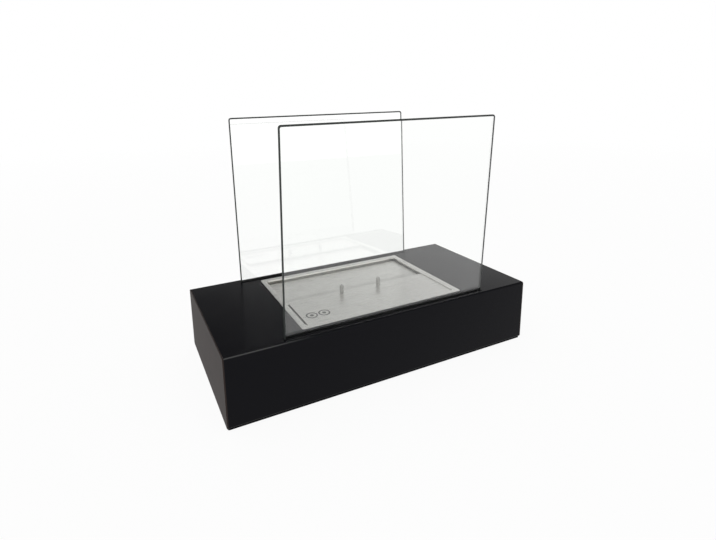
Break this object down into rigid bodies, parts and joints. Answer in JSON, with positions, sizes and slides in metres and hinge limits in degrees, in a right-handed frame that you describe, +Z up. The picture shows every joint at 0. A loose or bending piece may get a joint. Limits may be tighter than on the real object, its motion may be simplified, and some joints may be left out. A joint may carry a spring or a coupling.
{
  "type": "tabletop bioethanol fireplace",
  "caption": "Low rectangular tabletop fireplace: a folded black steel casing with a drop-in stainless burner, a sliding damper lid and two upright clear glass panes.",
  "frame": {"origin": "on the table surface under the centre of the casing's footprint", "axes": "+X along the casing's length to the right, +Y to the rear, +Z up; the front faces -Y"},
  "size_m": [0.4, 0.1968, 0.3048],
  "materials": {
    "powder_coated_steel": "semi-gloss black powder coat",
    "zinc_plated_steel": "dull zinc plate",
    "rubber": "matte black",
    "silicone_liner": "matte black silicone",
    "toughened_glass": "clear, ground edges",
    "stainless_steel": "fine satin brushed",
    "ceramic_fibre": "matte white felted fibre"
  },
  "bodies": {
    "casing": {"casing_shell": "powder_coated_steel", "left_end_panel": "powder_coated_steel", "right_end_panel": "powder_coated_steel", "bottom_plate": "powder_coated_steel", "bottom_plate_screws": "zinc_plated_steel", "rubber_feet": "rubber", "front_channel": "zinc_plated_steel", "rear_channel": "zinc_plated_steel", "front_liner": "silicone_liner", "rear_liner": "silicone_liner", "heat_shield": "zinc_plated_steel", "shield_spacers": "zinc_plated_steel", "shield_bolts": "zinc_plated_steel", "shield_nuts": "zinc_plated_steel"},
    "burner": {"burner_box": "stainless_steel", "burner_frame": "stainless_steel", "burner_deck": "stainless_steel", "grille_tray": "stainless_steel", "grille_rods": "stainless_steel", "ceramic_fibre_pad": "ceramic_fibre"},
    "damper": {"damper_plate": "stainless_steel", "left_damper_pin": "stainless_steel", "right_damper_pin": "stainless_steel", "pin_washers": "stainless_steel"},
    "front_glass": {"front_pane": "toughened_glass"},
    "rear_glass": {"rear_pane": "toughened_glass"}
  },
  "joints": [
    {"name": "damper_slide", "type": "slide", "parent": "burner", "child": "damper", "axis": [0, 1, 0], "range_m": [0, 0.07]},
    {"name": "burner_lift", "type": "slide", "parent": "casing", "child": "burner", "axis": [0, 0, 1], "range_m": [0, 0.065]},
    {"name": "front_pane_lift", "type": "slide", "parent": "casing", "child": "front_glass", "axis": [0, -0.0471, 0.9989], "range_m": [0, 0.03]},
    {"name": "rear_pane_lift", "type": "slide", "parent": "casing", "child": "rear_glass", "axis": [0, 0.0471, 0.9989], "range_m": [0, 0.03]}
  ]
}
